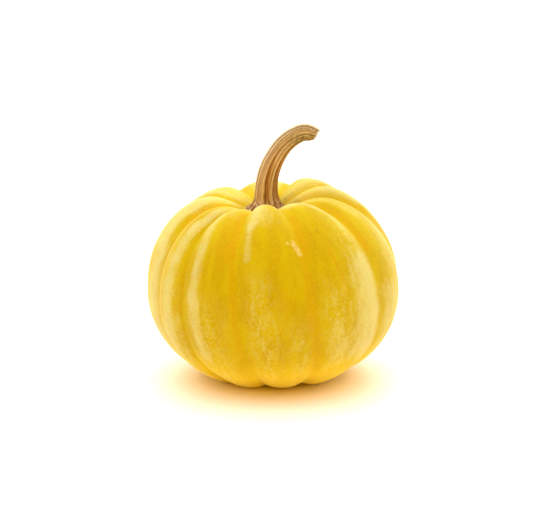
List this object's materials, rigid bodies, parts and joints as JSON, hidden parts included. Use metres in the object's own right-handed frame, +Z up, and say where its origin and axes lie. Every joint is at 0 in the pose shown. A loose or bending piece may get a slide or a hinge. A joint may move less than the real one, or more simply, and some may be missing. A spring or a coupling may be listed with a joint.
{
  "type": "mini pumpkin",
  "caption": "Small ribbed yellow-orange pumpkin with a leaning crown, a deep stem hollow and a dry ridged stem that curves over to one side; it stands on flat spots under its ribs.",
  "frame": {"origin": "under the middle of the whole pumpkin's box, on the plane that it rests on", "axes": "+Z up; -Y is the front; the stem curves over towards +X"},
  "size_m": [0.0902, 0.0902, 0.0923],
  "materials": {
    "rind": "smooth waxy squash rind with a soft satin sheen, mottled yellow and orange",
    "stem": "dry, matte, corky and ridged lengthwise"
  },
  "bodies": {
    "root": {"fruit": "rind", "stem": "stem"}
  },
  "joints": []
}
